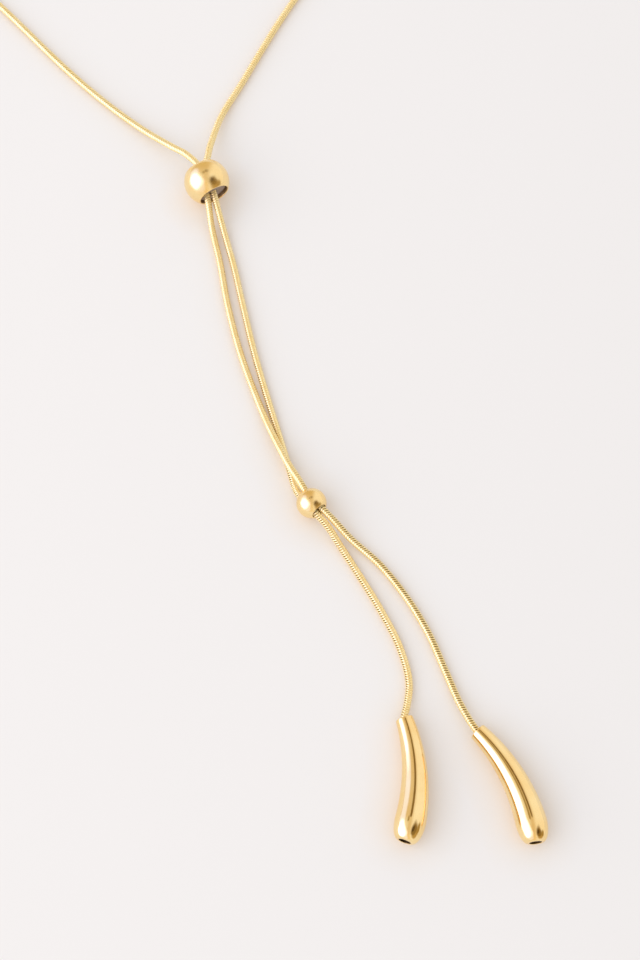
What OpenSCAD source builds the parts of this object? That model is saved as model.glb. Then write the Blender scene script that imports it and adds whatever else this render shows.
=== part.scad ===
// Adjustable lariat necklace, laid out flat on a surface at z = 0.
// One round snake chain runs from the left drop through the stopper bead and the slider
// bead, once round the neck loop, and back through both beads to the right drop.
// Millimetres, +Y towards the back of the neck, +Z up.

/* [Chain] */
// Diameter of the round snake chain
chain_d = 1.2; // [1:0.05:1.3]
// Length of chain held inside each drop
chain_in_drop = 4.5; // [3:0.5:8]

/* [Slider bead] */
// Diameter of the large ball
slider_d = 8; // [7.6:0.1:9]
// Diameter of the hole right through the large ball
slider_hole_d = 5.3; // [4.6:0.1:5.8]
// Depth of the grip core's face below the mouth of the hole
core_recess = 0.65; // [0.3:0.05:1.2]

/* [Stopper bead] */
// Diameter of the small ball
stopper_d = 5; // [4.6:0.1:6]

/* [Drops] */
// Length of a drop along its bent axis
drop_length = 19.7; // [16:0.1:26]
// Diameter of the flat top end
drop_top_d = 2.8; // [2.5:0.05:3.6]
// Diameter of the thick lower end
drop_bulb_d = 4.9; // [4.2:0.1:6]
// Length of the rounded part below the thickest place
drop_round_l = 3.3; // [2:0.1:5]
// Diameter of the flat round the lower hole
drop_end_d = 2.3; // [2.2:0.05:3]
// Diameter of the lower hole
drop_hole_d = 1.9; // [1.5:0.05:2]
// Angle that a drop bends through
drop_bend = 38; // [0:1:50]

/* [Fits] */
// Gap between the two strands inside a bead
strand_gap = 0.1; // [0.05:0.01:0.3]
// Clearance round a strand in the stopper bead and the grip core
bore_clearance = 0.07; // [0.03:0.01:0.15]
// Clearance round the chain at the mouth of a drop
mouth_clearance = 0.18; // [0.1:0.01:0.3]
// Clearance between the grip core and the ball round it
core_clearance = 0.05; // [0.02:0.01:0.15]
// Width of the flat round each mouth of a bead's bore
rim_w = 0.12; // [0.05:0.01:0.2]
// Radius of the edges of the grip core
core_edge_r = 0.3; // [0.1:0.05:0.5]
// Width of the broken edge at the top end of a drop
top_edge = 0.1; // [0.05:0.01:0.3]

/* [Hidden] */

gold = [0.88, 0.72, 0.42];
rubber_grey = [0.5, 0.47, 0.46];

// Where the beads lie, and how they are turned: yaw turns the bore from -Y towards +X,
// and tilt lifts the end of the bore that faces the drops.
slider_at = [-20, 55.2];
slider_yaw = 29;
slider_tilt = -8;
// How far the slot in the grip core is turned from the bore, seen from above
slider_slot_turn = -14;
stopper_at = [-1.4, -5.1];
stopper_yaw = 40;
stopper_tilt = 8;

// Where the drops lie: centre of the top end, and yaw of the axis there.
left_drop = [13.2, -41, 18];
right_drop = [24.6, -43, 44];
// Rise of a drop's axis towards its thick end, in degrees
drop_tilt = 3;

chain_r = chain_d / 2;
strand_pitch = chain_d + strand_gap;
slider_hole_r = slider_hole_d / 2;
stopper_hole_r = strand_pitch / 2 + chain_r + bore_clearance;
core_r = slider_hole_r - core_clearance;
mouth_r = chain_r + mouth_clearance;

chain_sides = 8;
chain_ring_gap = 32;
drop_sides = 36;
drop_taper_steps = 14;
drop_round_steps = 6;
drop_hole_steps = 8;
// How the taper fills out towards the thick end: 1 is a straight cone
drop_fullness = 1.15;
smooth = 96;

// Half the length of a ball's bore
function bore_half(d, hole_r) = sqrt(pow(d / 2, 2) - pow(hole_r + rim_w, 2));
slider_half = bore_half(slider_d, slider_hole_r);
stopper_half = bore_half(stopper_d, stopper_hole_r);
core_half = slider_half - core_recess;
// Where the strands' points lie in each ball, measured along the bore from its middle: in the
// large one at the core's faces and halfway from there to the mouths
slider_stations = [core_half + core_recess / 2, core_half, -core_half, -core_half - core_recess / 2];
stopper_stations = [stopper_half - rim_w, 0, rim_w - stopper_half];

// Directions
function unit(v) = v / norm(v);
function heading(yaw, tilt) = [sin(yaw) * cos(tilt), -cos(yaw) * cos(tilt), sin(tilt)];
function sideways(yaw) = [cos(yaw), sin(yaw), 0];

// The outer radius of a drop as rows of distance from the top end and radius
drop_taper_l = drop_length - drop_round_l;
drop_taper = [for (i = [0 : drop_taper_steps])
    let (t = i / drop_taper_steps)
    [top_edge + t * (drop_taper_l - top_edge),
     (drop_top_d + (drop_bulb_d - drop_top_d) * (1 - pow(1 - t, drop_fullness))) / 2]];
drop_round = [for (i = [1 : drop_round_steps])
    let (a = 90 * i / drop_round_steps)
    [drop_taper_l + drop_round_l * sin(a),
     (drop_end_d + (drop_bulb_d - drop_end_d) * cos(a)) / 2]];
drop_outside = concat([[0, drop_top_d / 2 - top_edge]], drop_taper, drop_round);
drop_inside = [for (i = [drop_hole_steps : -1 : 0])
    let (t = i / drop_hole_steps)
    [t * drop_length, mouth_r + t * (drop_hole_d / 2 - mouth_r)]];

// Height of the axis at the top end with the drop resting on its belly
drop_top_z = max([for (row = drop_outside) row[1] * cos(drop_tilt) - row[0] * sin(drop_tilt)]);

// A place on a drop's axis, s from its top end, and the direction there
function drop_yaw(place, s) = place[2] - drop_bend * s / drop_length;
function drop_axis(place, s) =
    let (turn = drop_bend * PI / 180 / drop_length,
         a = place[2],
         b = drop_yaw(place, s),
         along = drop_bend == 0
            ? s * [sin(a), -cos(a)]
            : [cos(b) - cos(a), sin(b) - sin(a)] / turn)
    [place[0] + cos(drop_tilt) * along[0],
     place[1] + cos(drop_tilt) * along[1],
     drop_top_z + s * sin(drop_tilt)];

// The places where one strand passes a bead: side is -1 for the left strand, 1 for the right,
// seen from above with the drops towards the viewer. They run from the drops' end upwards.
// Turn is the angle between strand and bore, seen from above.
function bead_pass(at, d, yaw, tilt, turn, stations, side) =
    let (bore = heading(yaw, tilt),
         along = bore * cos(turn) + sideways(yaw) * sin(turn),
         across = sideways(yaw) * cos(turn) - bore * sin(turn),
         aside = side * strand_pitch / 2)
    [for (s = stations)
        [at[0], at[1], d / 2] + across * aside + along * (s + aside * sin(turn)) / cos(turn)];
function slider_pass(side) =
    bead_pass(slider_at, slider_d, slider_yaw, slider_tilt, slider_slot_turn, slider_stations, side);
function stopper_pass(side) =
    bead_pass(stopper_at, stopper_d, stopper_yaw, stopper_tilt, 0, stopper_stations, side);
function drop_pass(place) = [for (s = [chain_in_drop, chain_in_drop / 2, 0]) drop_axis(place, s)];

// The chain's route: x, y and how far the chain is lifted off the surface, in chain diameters.
left_tail = [[13.65, -39, 0.5], [14.15, -35.4, 0], [12.85, -29.4, 0], [9.95, -23.2, 0],
    [6.45, -17.1, 0], [3.35, -12.1, 0.3], [0.85, -8.6, 1.45]];
left_strand = [[-4.35, -1.05, 0.25], [-4.9, 1, 0.1], [-5.7, 3.7, 0], [-6.85, 7.6, 0], [-8.9, 14.6, 0],
    [-11.3, 23.3, 0], [-13.5, 32.8, 0], [-15.35, 41, 0], [-17.1, 47.3, 0.5]];
right_side_of_loop = [[-19.9, 61, 2.75], [-19.4, 65.1, 1.3], [-18.25, 69.85, 0.5],
    [-13.8, 79.4, 0], [-6.5, 94, 0]];
back_of_loop = [[8, 117, 0], [29, 149, 0], [36.5, 187, 0], [24, 223, 0], [-6, 247, 0], [-44, 255, 0],
    [-81, 244, 0], [-107, 215, 0], [-113.5, 177, 0], [-101, 141, 0]];
left_side_of_loop = [[-58.5, 94, 0], [-42.1, 76.7, 0], [-30.9, 66.95, 0.6], [-26.55, 63.55, 1.4],
    [-23.7, 61.05, 2.4]];
right_strand = [[-19.05, 47.3, 0.5], [-17.6, 41, 0], [-16.1, 32.8, 0], [-13.7, 23.3, 0], [-10.7, 14.6, 0],
    [-8.35, 8.6, 0.55], [-6.5, 4.5, 1.05], [-5, 1.5, 1.35], [-3.45, -1.1, 1.6]];
right_tail = [[1.85, -7.65, 1.5], [4.9, -10.75, 0.5], [9.4, -14.8, 0], [13.6, -20.2, 0], [17.2, -26.4, 0],
    [20, -33.2, 0], [22.5, -39.4, 0.5]];

function lifted(rows) = [for (row = rows) [row[0], row[1], chain_r + row[2] * chain_d]];
function reversed(rows) = [for (i = [len(rows) - 1 : -1 : 0]) rows[i]];
route = concat(
    drop_pass(left_drop), lifted(left_tail), stopper_pass(-1), lifted(left_strand), slider_pass(1),
    lifted(right_side_of_loop), lifted(back_of_loop), lifted(left_side_of_loop),
    reversed(slider_pass(-1)), lifted(right_strand), reversed(stopper_pass(1)), lifted(right_tail),
    reversed(drop_pass(right_drop)));

// A smooth curve through the route's points, with a ring at each point and between far ones.
// It runs level wherever a point lies on the surface.
function slope(p, i) =
    i == 0 ? unit(p[1] - p[0])
    : i == len(p) - 1 ? unit(p[i] - p[i - 1])
    : let (a = p[i] - p[i - 1], b = p[i + 1] - p[i],
           along = (unit(a) * norm(b) + unit(b) * norm(a)) / (norm(a) + norm(b)))
      p[i][2] > chain_r ? along : [along[0], along[1], 0];
function between(p, i, t) =
    let (l = norm(p[i + 1] - p[i]), t2 = t * t, t3 = t2 * t)
    (2 * t3 - 3 * t2 + 1) * p[i] + (t3 - 2 * t2 + t) * l * slope(p, i)
    + (3 * t2 - 2 * t3) * p[i + 1] + (t3 - t2) * l * slope(p, i + 1);
function smooth_curve(p, gap) = concat(
    [for (i = [0 : len(p) - 2])
        let (steps = ceil(norm(p[i + 1] - p[i]) / gap))
        for (k = [0 : steps - 1]) between(p, i, k / steps)],
    [p[len(p) - 1]]);
chain_line = smooth_curve(route, chain_ring_gap);

// The corners of one ring round a place, square to the direction given
function ring(place, direction, radius, sides) =
    let (side = unit(cross(direction, [0, 0, 1])), up = cross(side, direction))
    [for (k = [0 : sides - 1])
        let (a = 360 * k / sides)
        place + radius * (side * cos(a) + up * sin(a))];
function flattened(lists) = [for (list = lists) for (item = list) item];

chain_points = flattened([for (i = [0 : len(chain_line) - 1])
    ring(chain_line[i], unit(slope(chain_line, i)), chain_r, chain_sides)]);

function drop_points(place) = flattened([for (row = concat(drop_outside, drop_inside))
    ring(drop_axis(place, row[0]), heading(drop_yaw(place, row[0]), drop_tilt), row[1], drop_sides)]);

// The middle of everything, seen from above, which is put at the origin
all_points = concat(chain_points, drop_points(left_drop), drop_points(right_drop));
function middle_of(axis) =
    let (values = [for (p = all_points) p[axis]])
    (min(values) + max(values)) / 2;
middle = [middle_of(0), middle_of(1), 0];

// Skin between rings that follow one another
function skin(rings, sides) = [for (i = [0 : rings - 2], k = [0 : sides - 1])
    let (n = (k + 1) % sides)
    [i * sides + k, i * sides + n, (i + 1) * sides + n, (i + 1) * sides + k]];

// A tube with flat ends
module tube(points, sides) {
    rings = len(points) / sides;
    first = [for (k = [sides - 1 : -1 : 0]) k];
    last = [for (k = [0 : sides - 1]) (rings - 1) * sides + k];
    polyhedron(points, concat(skin(rings, sides), [first, last]), convexity = 10);
}

// A skin whose last ring joins its first, so that it closes round a hole
module sleeve(points, sides) {
    rings = len(points) / sides;
    closed = [for (k = [0 : sides - 1])
        let (n = (k + 1) % sides)
        [(rings - 1) * sides + k, (rings - 1) * sides + n, n, k]];
    polyhedron(points, concat(skin(rings, sides), closed), convexity = 10);
}

// Puts a bead that was drawn along +Z in its place, with its bore turned
module bead_place(at, d, yaw, tilt) {
    translate([at[0], at[1], d / 2] - middle) rotate([90 - tilt, 0, yaw]) children();
}

// A ball with a bore along +Z
module ball(d, hole_r, half) {
    rotate_extrude($fn = smooth) intersection() {
        circle(r = d / 2, $fn = smooth);
        translate([hole_r, -half]) square([d, 2 * half]);
    }
}

module chain() {
    color(gold) translate(-middle) tube(chain_points, chain_sides);
}

module slider_bead() {
    color(gold) bead_place(slider_at, slider_d, slider_yaw, slider_tilt)
        ball(slider_d, slider_hole_r, slider_half);
}

// The plug in the large ball, with one flat slot that grips both strands
module slider_core() {
    slot_r = chain_r + bore_clearance;
    edge_x = core_r - core_edge_r;
    edge_z = core_half - core_edge_r;
    color(rubber_grey) bead_place(slider_at, slider_d, slider_yaw, slider_tilt)
        difference() {
            rotate_extrude($fn = smooth) {
                translate([0, -edge_z]) square([core_r, 2 * edge_z]);
                translate([0, -core_half]) square([edge_x, 2 * core_half]);
                for (end = [-1, 1]) translate([edge_x, end * edge_z])
                    circle(r = core_edge_r, $fn = smooth);
            }
            rotate([0, slider_slot_turn, 0]) linear_extrude(3 * core_half, center = true) {
                square([strand_pitch, 2 * slot_r], center = true);
                for (end = [-1, 1]) translate([end * strand_pitch / 2, 0])
                    circle(r = slot_r, $fn = smooth);
            }
        }
}

module stopper_bead() {
    color(gold) bead_place(stopper_at, stopper_d, stopper_yaw, stopper_tilt)
        ball(stopper_d, stopper_hole_r, stopper_half);
}

// A bent, tapered drop, drilled from end to end
module drop(place) {
    color(gold) translate(-middle) sleeve(drop_points(place), drop_sides);
}

module drop_left() {
    drop(left_drop);
}

module drop_right() {
    drop(right_drop);
}

chain();
slider_bead();
slider_core();
stopper_bead();
drop_left();
drop_right();
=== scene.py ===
import math

import bpy
import numpy as np
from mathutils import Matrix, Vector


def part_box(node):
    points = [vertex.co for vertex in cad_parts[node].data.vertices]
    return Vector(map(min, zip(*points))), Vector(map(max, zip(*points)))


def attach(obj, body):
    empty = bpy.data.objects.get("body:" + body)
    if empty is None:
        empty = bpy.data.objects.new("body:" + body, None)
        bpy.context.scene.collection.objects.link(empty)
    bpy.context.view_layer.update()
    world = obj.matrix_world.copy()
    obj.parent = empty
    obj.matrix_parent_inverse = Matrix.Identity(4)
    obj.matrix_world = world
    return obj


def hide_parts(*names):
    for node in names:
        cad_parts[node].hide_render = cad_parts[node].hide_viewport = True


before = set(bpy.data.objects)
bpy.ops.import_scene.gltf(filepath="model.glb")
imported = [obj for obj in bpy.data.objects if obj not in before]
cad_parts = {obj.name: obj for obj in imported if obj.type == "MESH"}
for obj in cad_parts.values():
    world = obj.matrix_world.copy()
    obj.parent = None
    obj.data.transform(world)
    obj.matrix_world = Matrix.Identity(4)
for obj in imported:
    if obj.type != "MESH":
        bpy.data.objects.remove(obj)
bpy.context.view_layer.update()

# Sizes of the necklace, in metres, as in the part's source
CHAIN_D = 0.0012
CHAIN_R = CHAIN_D / 2
STRAND_PITCH = CHAIN_D + 0.0001
SLIDER_D = 0.008
SLIDER_HOLE_R = 0.00265
CORE_RECESS = 0.00065
STOPPER_D = 0.005
BORE_CLEARANCE = 0.00007
RIM_W = 0.00012
DROP_LENGTH = 0.0197
DROP_TOP_D = 0.0028
DROP_BULB_D = 0.0049
DROP_ROUND_L = 0.0033
DROP_END_D = 0.0023
DROP_HOLE_D = 0.0019
DROP_MOUTH_R = CHAIN_R + 0.00018
DROP_BEND = math.radians(38)
DROP_TILT = math.radians(3)
DROP_FULLNESS = 1.15
CHAIN_IN_DROP = 0.0045

# Where the beads and drops lie in the photo's own frame: place, yaw and tilt
SLIDER_AT = np.array([-0.0200, 0.0552])
SLIDER_TURN = (math.radians(29), math.radians(-8))
SLIDER_SLOT_TURN = math.radians(-14)
STOPPER_AT = np.array([-0.0014, -0.0051])
STOPPER_TURN = (math.radians(40), math.radians(8))
LEFT_DROP = (0.0132, -0.0410, math.radians(18))
RIGHT_DROP = (0.0246, -0.0430, math.radians(44))

# The chain's route: x, y in metres and its lift off the surface in chain diameters
LEFT_TAIL = [(0.01365, -0.0390, 0.5), (0.01415, -0.0354, 0), (0.01285, -0.0294, 0), (0.00995, -0.0232, 0),
             (0.00645, -0.0171, 0), (0.00335, -0.0121, 0.3), (0.00085, -0.0086, 1.45)]
LEFT_STRAND = [(-0.00435, -0.00105, 0.25), (-0.0049, 0.0010, 0.1), (-0.0057, 0.0037, 0),
               (-0.00685, 0.0076, 0), (-0.0089, 0.0146, 0), (-0.0113, 0.0233, 0), (-0.0135, 0.0328, 0),
               (-0.01535, 0.0410, 0), (-0.0171, 0.0473, 0.5)]
RIGHT_SIDE_OF_LOOP = [(-0.0199, 0.0610, 2.75), (-0.0194, 0.0651, 1.3), (-0.01825, 0.06985, 0.5),
                      (-0.0138, 0.0794, 0), (-0.0065, 0.0940, 0)]
BACK_OF_LOOP = [(0.0080, 0.1170, 0), (0.0290, 0.1490, 0), (0.0365, 0.1870, 0), (0.0240, 0.2230, 0),
                (-0.0060, 0.2470, 0), (-0.0440, 0.2550, 0), (-0.0810, 0.2440, 0), (-0.1070, 0.2150, 0),
                (-0.1135, 0.1770, 0), (-0.1010, 0.1410, 0)]
LEFT_SIDE_OF_LOOP = [(-0.0585, 0.0940, 0), (-0.0421, 0.0767, 0), (-0.0309, 0.06695, 0.6),
                     (-0.02655, 0.06355, 1.4), (-0.0237, 0.06105, 2.4)]
RIGHT_STRAND = [(-0.01905, 0.0473, 0.5), (-0.0176, 0.0410, 0), (-0.0161, 0.0328, 0), (-0.0137, 0.0233, 0),
                (-0.0107, 0.0146, 0), (-0.00835, 0.0086, 0.55), (-0.0065, 0.0045, 1.05),
                (-0.0050, 0.0015, 1.35), (-0.00345, -0.0011, 1.6)]
RIGHT_TAIL = [(0.00185, -0.00765, 1.5), (0.0049, -0.01075, 0.5), (0.0094, -0.0148, 0), (0.0136, -0.0202, 0),
              (0.0172, -0.0264, 0), (0.0200, -0.0332, 0), (0.0225, -0.0394, 0.5)]

# The photo's frame has its origin where the camera aims; the model's is under its own middle
low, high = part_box("slider_bead")
SHIFT = np.array([(low.x + high.x) / 2 - SLIDER_AT[0], (low.y + high.y) / 2 - SLIDER_AT[1], 0.0])

# Camera
CAMERA_HEIGHT_ANGLE = math.radians(68)
FOCAL_PX = 1700
PHOTO_HEIGHT_PX = 960
# Pixels to a metre at the place where the camera aims
PX_PER_METRE = 6000
CAMERA_DISTANCE = FOCAL_PX / PX_PER_METRE


def make_camera():
    data = bpy.data.cameras.new("camera")
    data.sensor_width = 36
    data.lens = data.sensor_width * FOCAL_PX / PHOTO_HEIGHT_PX
    data.clip_start = 0.01
    data.clip_end = 20
    camera = bpy.data.objects.new("camera", data)
    camera.location = (SHIFT[0], SHIFT[1] - CAMERA_DISTANCE * math.cos(CAMERA_HEIGHT_ANGLE),
                       CAMERA_DISTANCE * math.sin(CAMERA_HEIGHT_ANGLE))
    camera.rotation_euler = (math.pi / 2 - CAMERA_HEIGHT_ANGLE, 0, 0)
    bpy.context.scene.collection.objects.link(camera)
    bpy.context.scene.camera = camera


make_camera()


# Shader node helpers
def add(tree, kind, place, **values):
    node = tree.nodes.new(kind)
    node.location = place
    for name, value in values.items():
        setattr(node, name, value)
    return node


def new_group(name, inputs, outputs):
    tree = bpy.data.node_groups.new(name, "ShaderNodeTree")
    for label, kind, value in inputs:
        socket = tree.interface.new_socket(label, in_out="INPUT", socket_type=kind)
        socket.default_value = value
    for label, kind in outputs:
        tree.interface.new_socket(label, in_out="OUTPUT", socket_type=kind)
    return tree, add(tree, "NodeGroupInput", (-900, 0)), add(tree, "NodeGroupOutput", (700, 0))


def make_plating_tone():
    """Slow drift of the plating's colour, paler here and deeper there."""
    tree, given, out = new_group(
        "plating_tone",
        [("Pale", "NodeSocketColor", (1.0, 0.8, 0.48, 1)), ("Deep", "NodeSocketColor", (0.9, 0.6, 0.25, 1)),
         ("Patch Scale", "NodeSocketFloat", 300.0)],
        [("Color", "NodeSocketColor")])
    where = add(tree, "ShaderNodeTexCoord", (-900, -300))
    noise = add(tree, "ShaderNodeTexNoise", (-600, -200))
    noise.inputs["Detail"].default_value = 3
    ramp = add(tree, "ShaderNodeMapRange", (-300, -200))
    ramp.inputs["From Min"].default_value = 0.35
    ramp.inputs["From Max"].default_value = 0.7
    mix = add(tree, "ShaderNodeMix", (200, 0), data_type="RGBA")
    tree.links.new(where.outputs["Object"], noise.inputs["Vector"])
    tree.links.new(given.outputs["Patch Scale"], noise.inputs["Scale"])
    tree.links.new(noise.outputs["Fac"], ramp.inputs["Value"])
    tree.links.new(ramp.outputs["Result"], mix.inputs["Factor"])
    tree.links.new(given.outputs["Pale"], mix.inputs["A"])
    tree.links.new(given.outputs["Deep"], mix.inputs["B"])
    tree.links.new(mix.outputs["Result"], out.inputs["Color"])
    return tree


def make_polish_marks():
    """Hair-fine buffing marks and a faint ripple, in the gloss and in the surface."""
    tree, given, out = new_group(
        "polish_marks",
        [("Smoothest", "NodeSocketFloat", 0.05), ("Roughest", "NodeSocketFloat", 0.12),
         ("Mark Scale", "NodeSocketFloat", 2500.0), ("Ripple Scale", "NodeSocketFloat", 400.0),
         ("Mark Depth", "NodeSocketFloat", 0.1)],
        [("Roughness", "NodeSocketFloat"), ("Normal", "NodeSocketVector")])
    where = add(tree, "ShaderNodeTexCoord", (-900, -300))
    stretch = add(tree, "ShaderNodeMapping", (-700, -300))
    stretch.inputs["Scale"].default_value = (1.0, 0.12, 1.0)
    stretch.inputs["Rotation"].default_value = (0.3, 0.2, 0.7)
    marks = add(tree, "ShaderNodeTexNoise", (-450, -200))
    marks.inputs["Detail"].default_value = 2
    ripple = add(tree, "ShaderNodeTexNoise", (-450, -450))
    ripple.inputs["Detail"].default_value = 1
    spread = add(tree, "ShaderNodeMapRange", (-150, 0))
    spread.inputs["From Min"].default_value = 0.3
    spread.inputs["From Max"].default_value = 0.75
    total = add(tree, "ShaderNodeMath", (-150, -350), operation="ADD")
    bump = add(tree, "ShaderNodeBump", (200, -250))
    bump.inputs["Distance"].default_value = 0.00001
    tree.links.new(where.outputs["Object"], stretch.inputs["Vector"])
    tree.links.new(stretch.outputs["Vector"], marks.inputs["Vector"])
    tree.links.new(where.outputs["Object"], ripple.inputs["Vector"])
    tree.links.new(given.outputs["Mark Scale"], marks.inputs["Scale"])
    tree.links.new(given.outputs["Ripple Scale"], ripple.inputs["Scale"])
    tree.links.new(marks.outputs["Fac"], spread.inputs["Value"])
    tree.links.new(given.outputs["Smoothest"], spread.inputs["To Min"])
    tree.links.new(given.outputs["Roughest"], spread.inputs["To Max"])
    tree.links.new(marks.outputs["Fac"], total.inputs[0])
    tree.links.new(ripple.outputs["Fac"], total.inputs[1])
    tree.links.new(total.outputs[0], bump.inputs["Height"])
    tree.links.new(given.outputs["Mark Depth"], bump.inputs["Strength"])
    tree.links.new(spread.outputs["Result"], out.inputs["Roughness"])
    tree.links.new(bump.outputs["Normal"], out.inputs["Normal"])
    return tree


plating_tone = make_plating_tone()
polish_marks = make_polish_marks()


def new_material(name):
    material = bpy.data.materials.new(name)
    material.use_nodes = True
    tree = material.node_tree
    return material, tree, tree.nodes["Principled BSDF"]


def use_group(tree, group, place, **values):
    node = add(tree, "ShaderNodeGroup", place, node_tree=group)
    for label, value in values.items():
        node.inputs[label.replace("_", " ")].default_value = value
    return node


def make_gold(name, pale, deep, patch, smoothest, roughest, marks, ripple, depth, metallic=1.0):
    material, tree, surface = new_material(name)
    surface.inputs["Metallic"].default_value = metallic
    tone = use_group(tree, plating_tone, (-500, 200), Pale=pale, Deep=deep, Patch_Scale=patch)
    finish = use_group(tree, polish_marks, (-500, -100), Smoothest=smoothest, Roughest=roughest,
                       Mark_Scale=marks, Ripple_Scale=ripple, Mark_Depth=depth)
    tree.links.new(tone.outputs["Color"], surface.inputs["Base Color"])
    tree.links.new(finish.outputs["Roughness"], surface.inputs["Roughness"])
    tree.links.new(finish.outputs["Normal"], surface.inputs["Normal"])
    return material


polished_gold = make_gold("polished_gold", (1.0, 0.78, 0.4, 1), (0.97, 0.70, 0.31, 1), 260,
                          0.07, 0.14, 2600, 350, 0.15)
worn_gold = make_gold("worn_gold", (1.0, 0.78, 0.4, 1), (0.97, 0.70, 0.31, 1), 260,
                      0.18, 0.25, 2600, 700, 0.25)
chain_gold = make_gold("chain_gold", (1.0, 0.825, 0.44, 1), (0.97, 0.765, 0.355, 1), 500,
                       0.24, 0.34, 3500, 1500, 0.2, metallic=0.7)
# painted shade: near-black gold for the gaps between links and the chain's end caps
link_gap_shade = make_gold("link_gap_shade", (0.13, 0.07, 0.018, 1), (0.08, 0.042, 0.01, 1), 900,
                     0.45, 0.6, 3500, 1500, 0.2)
# painted shade: darker gold inside the slider's bore, near-black gold inside the stopper's bore and the
# drops' holes
mouth_painted_shade = make_gold("mouth_painted_shade", (0.5, 0.36, 0.2, 1), (0.42, 0.29, 0.15, 1), 500,
                       0.4, 0.5, 1800, 700, 0.3)
bore_painted_shade = make_gold("bore_painted_shade", (0.1, 0.06, 0.02, 1), (0.05, 0.03, 0.01, 1), 500,
                      0.45, 0.6, 1800, 700, 0.3)


def make_rubber():
    material, tree, surface = new_material("grey_rubber")
    surface.inputs["Specular IOR Level"].default_value = 0.35
    tone = use_group(tree, plating_tone, (-500, 200), Pale=(0.36, 0.28, 0.23, 1),
                     Deep=(0.28, 0.215, 0.17, 1), Patch_Scale=700)
    finish = use_group(tree, polish_marks, (-500, -100), Smoothest=0.5, Roughest=0.65,
                       Mark_Scale=4000, Ripple_Scale=1200, Mark_Depth=0.4)
    tree.links.new(tone.outputs["Color"], surface.inputs["Base Color"])
    tree.links.new(finish.outputs["Roughness"], surface.inputs["Roughness"])
    tree.links.new(finish.outputs["Normal"], surface.inputs["Normal"])
    return material


grey_rubber = make_rubber()


# Directions and the curve that the chain follows
def unit(v):
    return v / np.linalg.norm(v)


def heading(yaw, tilt):
    return np.array([math.sin(yaw) * math.cos(tilt), -math.cos(yaw) * math.cos(tilt), math.sin(tilt)])


def bore_half(d, hole_r):
    return math.sqrt((d / 2) ** 2 - (hole_r + RIM_W) ** 2)


STOPPER_HOLE_R = STRAND_PITCH / 2 + CHAIN_R + BORE_CLEARANCE
CORE_HALF = bore_half(SLIDER_D, SLIDER_HOLE_R) - CORE_RECESS
# Where a strand's points lie in each ball, along the bore from its middle
SLIDER_STATIONS = [CORE_HALF + CORE_RECESS / 2, CORE_HALF, -CORE_HALF, -CORE_HALF - CORE_RECESS / 2]
STOPPER_HALF = bore_half(STOPPER_D, STOPPER_HOLE_R)
STOPPER_STATIONS = [STOPPER_HALF - RIM_W, 0, RIM_W - STOPPER_HALF]


def bead_pass(at, d, turn, slot_turn, stations, side):
    yaw, tilt = turn
    bore = heading(yaw, tilt)
    sideways = np.array([math.cos(yaw), math.sin(yaw), 0])
    along = bore * math.cos(slot_turn) + sideways * math.sin(slot_turn)
    across = sideways * math.cos(slot_turn) - bore * math.sin(slot_turn)
    aside = side * STRAND_PITCH / 2
    middle = np.array([at[0], at[1], d / 2]) + across * aside
    return [middle + along * (s + aside * math.sin(slot_turn)) / math.cos(slot_turn) for s in stations]


def slider_pass(side):
    return bead_pass(SLIDER_AT, SLIDER_D, SLIDER_TURN, SLIDER_SLOT_TURN, SLIDER_STATIONS, side)


def stopper_pass(side):
    return bead_pass(STOPPER_AT, STOPPER_D, STOPPER_TURN, 0, STOPPER_STATIONS, side)


# The outer radius of a drop, s from its top end
def drop_radius(s):
    taper = DROP_LENGTH - DROP_ROUND_L
    if s < taper:
        t = s / taper
        return (DROP_TOP_D + (DROP_BULB_D - DROP_TOP_D) * (1 - (1 - t) ** DROP_FULLNESS)) / 2
    a = math.sqrt(max(0.0, 1 - ((s - taper) / DROP_ROUND_L) ** 2))
    return (DROP_END_D + (DROP_BULB_D - DROP_END_D) * a) / 2


# Height of a drop's axis at the top end with the drop resting on its belly
DROP_TOP_Z = max(drop_radius(s) * math.cos(DROP_TILT) - s * math.sin(DROP_TILT)
                 for s in np.linspace(0, DROP_LENGTH, 200))


def drop_heading(place, s):
    return heading(place[2] - DROP_BEND * s / DROP_LENGTH, DROP_TILT)


def drop_axis(place, s):
    turn = DROP_BEND / DROP_LENGTH
    a, b = place[2], place[2] - DROP_BEND * s / DROP_LENGTH
    return np.array([place[0] + math.cos(DROP_TILT) * (math.cos(b) - math.cos(a)) / turn,
                     place[1] + math.cos(DROP_TILT) * (math.sin(b) - math.sin(a)) / turn,
                     DROP_TOP_Z + s * math.sin(DROP_TILT)])


def drop_pass(place):
    return [drop_axis(place, s) for s in (CHAIN_IN_DROP, CHAIN_IN_DROP / 2, 0)]


def lifted(rows):
    return [np.array([x, y, CHAIN_R + lift * CHAIN_D]) for x, y, lift in rows]


route = np.array(
    drop_pass(LEFT_DROP) + lifted(LEFT_TAIL)
    + stopper_pass(-1) + lifted(LEFT_STRAND) + slider_pass(1) + lifted(RIGHT_SIDE_OF_LOOP)
    + lifted(BACK_OF_LOOP) + lifted(LEFT_SIDE_OF_LOOP) + slider_pass(-1)[::-1] + lifted(RIGHT_STRAND)
    + stopper_pass(1)[::-1] + lifted(RIGHT_TAIL)
    + drop_pass(RIGHT_DROP)[::-1])


def slopes(points):
    chords = np.diff(points, axis=0)
    lengths = np.linalg.norm(chords, axis=1)
    along = chords / lengths[:, None]
    result = np.empty_like(points)
    result[0], result[-1] = along[0], along[-1]
    before, after = lengths[:-1, None], lengths[1:, None]
    result[1:-1] = (along[:-1] * after + along[1:] * before) / (before + after)
    result[points[:, 2] <= CHAIN_R + 1e-9, 2] = 0
    return result


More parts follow.
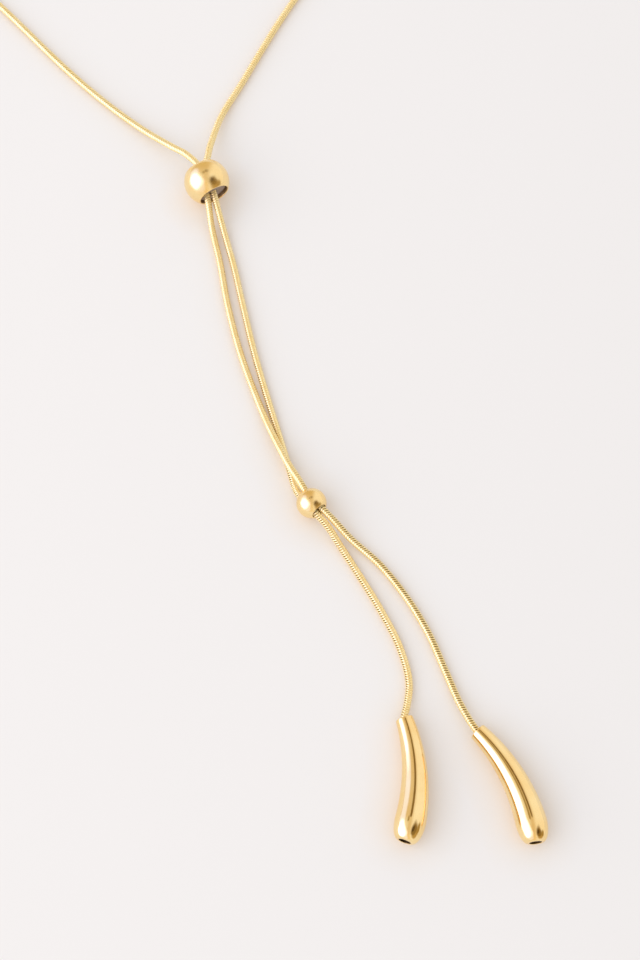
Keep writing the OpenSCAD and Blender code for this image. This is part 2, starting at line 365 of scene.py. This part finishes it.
def smooth_curve(points, step):
    tangent = slopes(points)
    rows = []
    for i in range(len(points) - 1):
        length = np.linalg.norm(points[i + 1] - points[i])
        t = np.arange(0, 1, step / length)[:, None]
        rows.append((2 * t ** 3 - 3 * t ** 2 + 1) * points[i]
                    + (t ** 3 - 2 * t ** 2 + t) * length * tangent[i]
                    + (3 * t ** 2 - 2 * t ** 3) * points[i + 1]
                    + (t ** 3 - t ** 2) * length * tangent[i + 1])
    rows.append(points[-1:])
    return np.concatenate(rows)


# Meshes from arrays
def make_piece(name, vertices, faces, materials, which=None):
    mesh = bpy.data.meshes.new(name)
    mesh.from_pydata((vertices + SHIFT).tolist(), [], faces)
    mesh.polygons.foreach_set("use_smooth", np.ones(len(mesh.polygons), bool))
    for material in materials:
        mesh.materials.append(material)
    if which is not None:
        mesh.polygons.foreach_set("material_index", np.asarray(which, np.int32))
    mesh.update()
    piece = bpy.data.objects.new(name, mesh)
    bpy.context.scene.collection.objects.link(piece)
    return piece


def skin(rings, sides, closed=False):
    """Quads between rings that follow one another; closed joins the last ring to the first."""
    i = np.arange(rings if closed else rings - 1)[:, None]
    k = np.arange(sides)[None, :]
    here, there = i * sides, (i + 1) % rings * sides
    n = (k + 1) % sides
    return np.stack([here + k, here + n, there + n, there + k], axis=2).reshape(-1, 4)


# The snake chain, link by link
LINK_PITCH = 0.00042
LINK_SIDES = 24
# How far the links' sides lean along the chain, as a share of the pitch
SLANT = 0.25
# Depth of the groove between two links, away from the deep rows and in them
GROOVE_SHALLOW = 0.00006
GROOVE_DEEP = 0.00026
# Half the gap between two links as a share of the pitch, and how much wider it is in the deep rows
GAP_HALF = 0.035
GAP_MORE = 0.15
# Length of a link's rounded shoulder as a share of the pitch
SHOULDER = 0.13
# Half the width of a deep row as a share of the chain's radius
ROW_WIDTH = 0.45
# How deep a groove has to be, from 0 to 1, for its bottom to get the painted shade
PAINTED_SHADE_FROM = 0.12
# How far each station of a link is below its crest, as a share of the groove: the gap's bottom,
# its edge, the shoulder, the crest, the other shoulder and the other edge
LINK_DEPTHS = [1.0, 0.7, 0.2, 0.0, 0.2, 0.7]
# The chain is made in this many lengths
PIECES = 4
# How far the rows of gaps are turned round the chain, in degrees, at distances along it in metres
ROW_TURN = [(0.0, 160), (0.02, 150), (0.043, 142), (0.08, 170), (0.12, 180), (0.5, 180), (0.6, 130),
            (0.637, 120), (0.66, 180), (0.695, 165), (0.718, 120), (0.74, 106), (0.77, 98)]
# Distance between the points of the chain's centre line
LINE_STEP = 0.0001


def make_chain():
    line = smooth_curve(route, LINE_STEP)
    along = np.concatenate([[0], np.cumsum(np.linalg.norm(np.diff(line, axis=0), axis=1))])
    direction = np.gradient(line, along, axis=0)
    direction /= np.linalg.norm(direction, axis=1)[:, None]
    side = np.cross(direction, [0, 0, 1])
    side /= np.linalg.norm(side, axis=1)[:, None]
    up = np.cross(side, direction)
    links = int(along[-1] / LINK_PITCH)
    pitch = along[-1] / links

    def at(values, s):
        return np.stack([np.interp(s, along, values[:, axis]) for axis in range(3)], axis=-1)

    per_link = len(LINK_DEPTHS)
    count = links * per_link + 1
    corner = 2 * math.pi * np.arange(LINK_SIDES) / LINK_SIDES
    deep = np.exp(-(np.sin(corner) / ROW_WIDTH) ** 2)
    gap = GAP_HALF + GAP_MORE * deep
    stations = np.array([0 * gap, gap, gap + SHOULDER, 0 * gap + 0.5, 1 - gap - SHOULDER, 1 - gap])
    phase = (np.arange(links)[:, None, None] + stations[None]).reshape(-1, LINK_SIDES)
    phase = np.concatenate([phase, np.full((1, LINK_SIDES), float(links))])
    share = np.array(LINK_DEPTHS * links + [1.0])
    turn = np.radians(np.interp(phase[:, 0] * pitch, [r[0] for r in ROW_TURN], [r[1] for r in ROW_TURN]))
    shift = SLANT * np.sin(2 * corner)
    groove = GROOVE_SHALLOW + (GROOVE_DEEP - GROOVE_SHALLOW) * deep
    s = np.clip((phase + shift[None, :]) * pitch, 0, along[-1])
    radius = CHAIN_R - share[:, None] * groove[None, :]
    angle = turn[:, None] + corner[None, :]
    points = at(line, s) + radius[..., None] * (at(side, s) * np.cos(angle)[..., None]
                                                + at(up, s) * np.sin(angle)[..., None])
    # in the deep rows both sides of a groove's bottom get painted shade, the dark gap between two links
    station = np.arange(count - 1) % per_link
    bottom = (station == 0) | (station == per_link - 1)
    dark = bottom[:, None] & ((deep + np.roll(deep, -1))[None, :] > 2 * PAINTED_SHADE_FROM)
    ends = [round(links * k / PIECES) * per_link for k in range(PIECES + 1)]
    pieces = []
    for k in range(PIECES):
        first, last = ends[k], ends[k + 1]
        rings = last - first + 1
        faces = skin(rings, LINK_SIDES).tolist()
        which = dark[first:last].reshape(-1).astype(int).tolist()
        for row, flip in ((0, True), (rings - 1, False)):
            if (row == 0 and k == 0) or (row > 0 and k == PIECES - 1):
                cap = [row * LINK_SIDES + j for j in range(LINK_SIDES)]
                faces.append(cap[::-1] if flip else cap)
                # the end caps, hidden in the drops, get the painted shade too
                which.append(1)
        name = "snake_chain_%d" % (k + 1)
        pieces.append(make_piece(name, points[first:last + 1].reshape(-1, 3), faces,
                                 [chain_gold, link_gap_shade], which))
    return pieces


for piece in make_chain():
    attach(piece, "root")
    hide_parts("chain")


# Polished balls with a rolled edge at each mouth of the bore
BALL_SIDES = 160
BALL_ROWS = 80
BALL_EDGE_ROWS = 9
BALL_BORE_ROWS = 12


def make_ball(name, at, d, hole_r, turn, node, inside_shade):
    yaw, tilt = turn
    roll = RIM_W
    reach = math.sqrt((d / 2 - roll) ** 2 - (hole_r + roll) ** 2)
    lean = math.atan2(hole_r + roll, reach)
    profile = []
    for a in np.linspace(lean, math.pi - lean, BALL_ROWS):
        profile.append((d / 2 * math.sin(a), d / 2 * math.cos(a)))
    for a in np.linspace(math.pi - lean, 1.5 * math.pi, BALL_EDGE_ROWS)[1:]:
        profile.append((hole_r + roll + roll * math.sin(a), -reach + roll * math.cos(a)))
    outside = len(profile)
    for t in np.linspace(0, 1, BALL_BORE_ROWS)[1:-1]:
        profile.append((hole_r, -reach + 2 * reach * t))
    inside = len(profile)
    for a in np.linspace(-0.5 * math.pi, lean, BALL_EDGE_ROWS)[:-1]:
        profile.append((hole_r + roll + roll * math.sin(a), reach + roll * math.cos(a)))
    profile = np.array(profile)
    along = heading(yaw, tilt)
    side = np.array([math.cos(yaw), math.sin(yaw), 0])
    up = np.cross(side, along)
    a = 2 * math.pi * np.arange(BALL_SIDES) / BALL_SIDES
    across = side[None, :] * np.cos(a)[:, None] + up[None, :] * np.sin(a)[:, None]
    middle = np.array([at[0], at[1], d / 2])
    points = middle + profile[:, 1, None, None] * along + profile[:, 0, None, None] * across[None]
    faces = skin(len(profile), BALL_SIDES, closed=True)
    row = np.repeat(np.arange(len(profile)), BALL_SIDES)
    # the bore rows get the inside material's painted shade
    bore = (row >= outside - 1) & (row < inside)
    piece = make_piece(name, points.reshape(-1, 3), faces.tolist(), [worn_gold, inside_shade], bore)
    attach(piece, "root")
    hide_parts(node)


make_ball("slider_ball", SLIDER_AT, SLIDER_D, SLIDER_HOLE_R, SLIDER_TURN, "slider_bead", mouth_painted_shade)
make_ball("stopper_ball", STOPPER_AT, STOPPER_D, STOPPER_HOLE_R, STOPPER_TURN, "stopper_bead", bore_painted_shade)

# The grip core keeps its solid
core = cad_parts["slider_core"]
core.data.materials.clear()
core.data.materials.append(grey_rubber)

# Bent drops with a rolled edge at the top end and at the lower hole
DROP_SIDES = 128
DROP_TAPER_ROWS = 60
DROP_ROUND_ROWS = 34
DROP_BORE_ROWS = 16
DROP_EDGE_ROWS = 6
TOP_EDGE = 0.00012
HOLE_EDGE = 0.0001
# Rows of the lower hole's edge that get the bore's painted shade
SHADED_EDGE_ROWS = 3


def make_drop(name, place, node):
    rows = [(TOP_EDGE * (1 - math.sin(a)), DROP_TOP_D / 2 - TOP_EDGE * (1 - math.cos(a)))
            for a in np.linspace(math.pi / 2, 0, DROP_EDGE_ROWS)]
    taper = DROP_LENGTH - DROP_ROUND_L
    for s in np.linspace(TOP_EDGE * 2, taper, DROP_TAPER_ROWS):
        rows.append((s, drop_radius(s)))
    for a in np.linspace(0, math.pi / 2, DROP_ROUND_ROWS)[1:]:
        s = taper + DROP_ROUND_L * math.sin(a)
        rows.append((s, (DROP_END_D + (DROP_BULB_D - DROP_END_D) * math.cos(a)) / 2))
    hole = DROP_HOLE_D / 2
    for a in np.linspace(0, math.pi / 2, DROP_EDGE_ROWS):
        rows.append((DROP_LENGTH - HOLE_EDGE * (1 - math.cos(a)), hole + HOLE_EDGE * (1 - math.sin(a))))
    rolled = len(rows)
    for t in np.linspace(1, 0, DROP_BORE_ROWS)[1:]:
        rows.append((t * (DROP_LENGTH - HOLE_EDGE), DROP_MOUTH_R + t * (hole - DROP_MOUTH_R)))
    a = 2 * math.pi * np.arange(DROP_SIDES) / DROP_SIDES
    points = []
    for s, r in rows:
        along = drop_heading(place, s)
        side = unit(np.cross(along, [0, 0, 1]))
        up = np.cross(side, along)
        points.append(drop_axis(place, s)
                      + r * (side[None] * np.cos(a)[:, None] + up[None] * np.sin(a)[:, None]))
    faces = skin(len(rows), DROP_SIDES, closed=True)
    row = np.repeat(np.arange(len(rows)), DROP_SIDES)
    # painted shade on the bore and on the last rows of the hole's edge
    bore = (row >= rolled - SHADED_EDGE_ROWS) & (row < len(rows) - 1)
    piece = make_piece(name, np.concatenate(points), faces.tolist(), [polished_gold, bore_painted_shade], bore)
    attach(piece, "root")
    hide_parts(node)


make_drop("polished_drop_left", LEFT_DROP, "drop_left")
make_drop("polished_drop_right", RIGHT_DROP, "drop_right")


# Floor: painted light, paler on the left where the window is, fading between two values of x
FLOOR_REACH = 12.0
FLOOR_FADE = (-0.01, 0.09)
FLOOR_LEFT = (0.566, 0.554, 0.552, 1)
FLOOR_RIGHT = (0.537, 0.526, 0.524, 1)
# Its tones in the open and right beside the gold, where ambient occlusion paints a warm glow on it. Its own
# painted light, an emission though it is no lamp, keeps the shadows faint.
PAINTED_GLOW_REACH = 0.006
PAINTED_GLOW_TONE = (0.55, 0.43, 0.31, 1)
PAINTED_FLOOR_LIGHT = (0.26, 0.25, 0.248, 1)
PAINTED_GLOW_LIGHT = (0.25, 0.215, 0.165, 1)


def make_floor():
    material, tree, surface = new_material("pale_table")
    where = add(tree, "ShaderNodeTexCoord", (-1100, 200))
    split = add(tree, "ShaderNodeSeparateXYZ", (-900, 200))
    fade = add(tree, "ShaderNodeMapRange", (-700, 200))
    fade.inputs["From Min"].default_value = FLOOR_FADE[0]
    fade.inputs["From Max"].default_value = FLOOR_FADE[1]
    # painted light: the floor's colour is paler on the window's side
    mix = add(tree, "ShaderNodeMix", (-400, 200), data_type="RGBA")
    mix.inputs["A"].default_value = FLOOR_LEFT
    mix.inputs["B"].default_value = FLOOR_RIGHT
    tree.links.new(where.outputs["Object"], split.inputs[0])
    tree.links.new(split.outputs["X"], fade.inputs["Value"])
    tree.links.new(fade.outputs["Result"], mix.inputs["Factor"])
    # painted glow: ambient occlusion turns the floor's colour warm beside the gold
    clear = add(tree, "ShaderNodeAmbientOcclusion", (-400, 500), samples=8)
    clear.inputs["Distance"].default_value = PAINTED_GLOW_REACH
    glow = add(tree, "ShaderNodeMix", (-150, 200), data_type="RGBA")
    glow.inputs["A"].default_value = PAINTED_GLOW_TONE
    tree.links.new(clear.outputs["AO"], glow.inputs["Factor"])
    tree.links.new(mix.outputs["Result"], glow.inputs["B"])
    tree.links.new(glow.outputs["Result"], surface.inputs["Base Color"])
    # painted light: the floor's own emission, warmer beside the gold, fills its shadows
    soft = add(tree, "ShaderNodeMix", (-150, -100), data_type="RGBA")
    soft.inputs["A"].default_value = PAINTED_GLOW_LIGHT
    soft.inputs["B"].default_value = PAINTED_FLOOR_LIGHT
    tree.links.new(clear.outputs["AO"], soft.inputs["Factor"])
    tree.links.new(soft.outputs["Result"], surface.inputs["Emission Color"])
    surface.inputs["Emission Strength"].default_value = 1.0
    surface.inputs["Roughness"].default_value = 0.7
    surface.inputs["Specular IOR Level"].default_value = 0.2
    mesh = bpy.data.meshes.new("floor")
    corners = [(-1, -1), (1, -1), (1, 1), (-1, 1)]
    mesh.from_pydata([(x * FLOOR_REACH, y * FLOOR_REACH, 0) for x, y in corners], [], [(0, 1, 2, 3)])
    mesh.materials.append(material)
    floor = bpy.data.objects.new("floor", mesh)
    bpy.context.scene.collection.objects.link(floor)


make_floor()


# Light: a pale room with a wide window on the left. The table is lit by one soft glow from there,
# and the metal alone sees the room in detail, with the window much brighter.
WALLS = (0.78, 0.65, 0.47, 1)
# Each side of the room: its direction, where it starts and is whole as a cosine, and its colour
SIDES = [
    ((0, 1, 0), 0.45, 0.85, (0.72, 0.56, 0.31, 1)),
    ((0, -1, 0), 0.3, 0.75, (0.9, 0.73, 0.46, 1)),
    ((1, 0, 0), 0.02, 0.46, (1.0, 0.96, 0.92, 1)),
]
# Each patch: its direction, the angles in degrees where it is whole and where it ends, and its colour
PATCHES = [
    # pale ceiling
    ((-0.55, 0.0, 0.83), 12, 28, (0.87, 0.83, 0.74, 1)),
    # dark things on the right and overhead
    ((0.73, -0.57, 0.375), 12, 30, (0.5, 0.34, 0.13, 1)),
    ((0.6, -0.33, 0.73), 13, 27, (0.27, 0.18, 0.06, 1)),
    ((0.5, -0.27, 0.82), 3, 13, (0.1, 0.06, 0.02, 1)),
    ((0.93, -0.27, 0.27), 7, 16, (0.4, 0.28, 0.1, 1)),
    # small dark things behind the necklace
    ((-0.22, 0.29, 0.93), 3, 9, (0.4, 0.29, 0.12, 1)),
    ((-0.64, 0.15, 0.75), 1, 5, (0.4, 0.29, 0.15, 1)),
    ((0.03, 0.44, 0.9), 3, 10, (0.22, 0.14, 0.04, 1)),
    # the bright wall round the window, and the window
    ((-0.6, -0.72, 0.34), 18, 38, (1.0, 1.0, 1.25, 1)),
    ((-0.52, -0.42, 0.74), 10, 26, (1.5, 1.4, 1.9, 1)),
    ((-0.84, 0.34, 0.42), 14, 28, (1.02, 1.1, 1.65, 1)),
    ((-0.86, -0.24, 0.45), 26, 40, (2.5, 2.2, 3.3, 1)),
]
# The light on the table, away from the window and towards it
TABLE_LIGHT = (0.83, 0.818, 0.814, 1)
WINDOW_GLOW = (2.3, 2.27, 2.25, 1)
WINDOW_FROM = (-0.832, -0.270, 0.485)
WINDOW_ANGLES = (10, 60)
# How uneven the edges of the patches are
SHAKE_SCALE = 3.2
SHAKE_SIZE = 0.16


def make_room():
    world = bpy.data.worlds.new("room")
    bpy.context.scene.world = world
    world.use_nodes = True
    tree = world.node_tree
    back = tree.nodes["Background"]
    where = add(tree, "ShaderNodeTexCoord", (-2600, 0))
    shake = add(tree, "ShaderNodeTexNoise", (-2600, -300))
    shake.inputs["Scale"].default_value = SHAKE_SCALE
    shake.inputs["Detail"].default_value = 2
    tree.links.new(where.outputs["Generated"], shake.inputs["Vector"])
    centred = add(tree, "ShaderNodeVectorMath", (-2450, -300), operation="SUBTRACT")
    centred.inputs[1].default_value = (0.5, 0.5, 0.5)
    tree.links.new(shake.outputs["Color"], centred.inputs[0])
    small = add(tree, "ShaderNodeVectorMath", (-2450, -150), operation="SCALE")
    small.inputs["Scale"].default_value = SHAKE_SIZE
    tree.links.new(centred.outputs["Vector"], small.inputs[0])
    shaken = add(tree, "ShaderNodeVectorMath", (-2450, 0), operation="ADD")
    tree.links.new(where.outputs["Generated"], shaken.inputs[0])
    tree.links.new(small.outputs["Vector"], shaken.inputs[1])
    whole = add(tree, "ShaderNodeVectorMath", (-2300, 0), operation="NORMALIZE")
    tree.links.new(shaken.outputs["Vector"], whole.inputs[0])
    direction = whole.outputs["Vector"]

    def along(v):
        dot = add(tree, "ShaderNodeVectorMath", (-2300, 0), operation="DOT_PRODUCT")
        dot.inputs[1].default_value = v
        tree.links.new(direction, dot.inputs[0])
        return dot.outputs["Value"]

    def step(value, low, high):
        """0 up to low and 1 from high on, smooth between them."""
        band = add(tree, "ShaderNodeMapRange", (-1700, 0), interpolation_type="SMOOTHSTEP")
        band.inputs["From Min"].default_value = low
        band.inputs["From Max"].default_value = high
        tree.links.new(value, band.inputs["Value"])
        return band.outputs["Result"]

    def near(v, inner, outer):
        """1 close to a direction and 0 away from it; inner and outer are angles in degrees."""
        return step(along(unit(np.array(v, float))), math.cos(math.radians(outer)),
                    math.cos(math.radians(inner)))

    def blend(below, mask, colour):
        mix = add(tree, "ShaderNodeMix", (-600, 0), data_type="RGBA", clamp_factor=True)
        tree.links.new(mask, mix.inputs["Factor"])
        if isinstance(below, tuple):
            mix.inputs["A"].default_value = below
        else:
            tree.links.new(below, mix.inputs["A"])
        mix.inputs["B"].default_value = colour
        return mix.outputs["Result"]

    shown = WALLS
    for v, low, high, colour in SIDES:
        shown = blend(shown, step(along(v), low, high), colour)
    for v, inner, outer, colour in PATCHES:
        shown = blend(shown, near(v, inner, outer), colour)
    lit = blend(TABLE_LIGHT, near(WINDOW_FROM, *WINDOW_ANGLES), WINDOW_GLOW)
    path = add(tree, "ShaderNodeLightPath", (-600, -400))
    both = add(tree, "ShaderNodeMix", (-300, 0), data_type="RGBA")
    tree.links.new(path.outputs["Is Glossy Ray"], both.inputs["Factor"])
    tree.links.new(lit, both.inputs["A"])
    tree.links.new(shown, both.inputs["B"])
    tree.links.new(both.outputs["Result"], back.inputs["Color"])
    back.inputs["Strength"].default_value = 1.0


make_room()
bpy.context.scene.view_settings.view_transform = "Standard"
